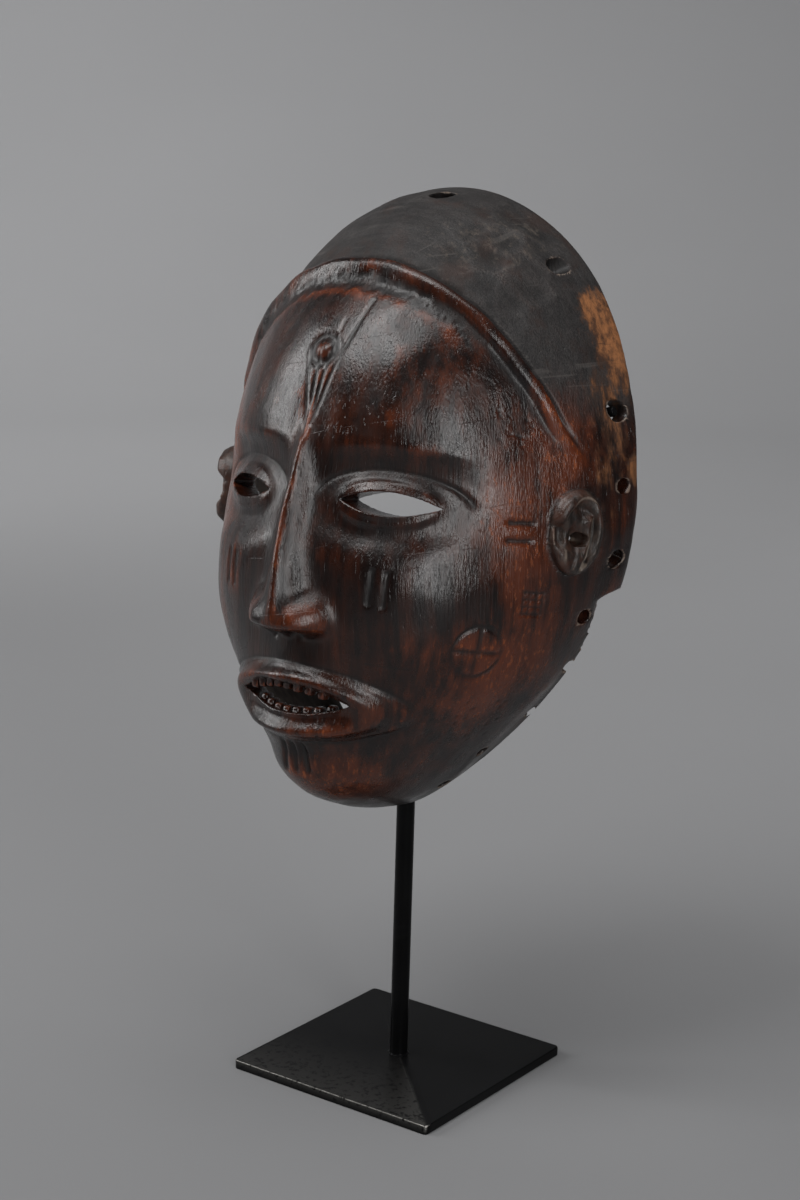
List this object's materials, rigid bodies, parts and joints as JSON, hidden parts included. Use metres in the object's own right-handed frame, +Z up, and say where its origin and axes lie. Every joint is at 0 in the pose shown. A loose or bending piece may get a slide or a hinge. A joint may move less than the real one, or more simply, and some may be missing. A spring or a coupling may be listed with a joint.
{
  "type": "carved wooden face mask on a stand",
  "caption": "Hollow carved hardwood face mask with pierced eyes and mouth, hairline roll and lacing holes, held by a bent fork on a round post and square steel foot.",
  "frame": {"origin": "centre of the square foot's underside, on the post's axis", "axes": "+Z up along the post, -Y is the way the mask faces, +X is the mask's own left side; the foot's sides are parallel to X and Y"},
  "size_m": [0.187, 0.1449, 0.3687],
  "materials": {
    "carved_wood": "dark brown-black handled patina, satin to gloss, with red-brown rubbed places, a dull charcoal crown and bare tan wood at the rim",
    "black_steel": "satin black, edges slightly rubbed bright"
  },
  "bodies": {
    "root": {"mask": "carved_wood", "stand_fork": "black_steel", "stand_plate": "black_steel", "stand_post": "black_steel"}
  },
  "joints": []
}
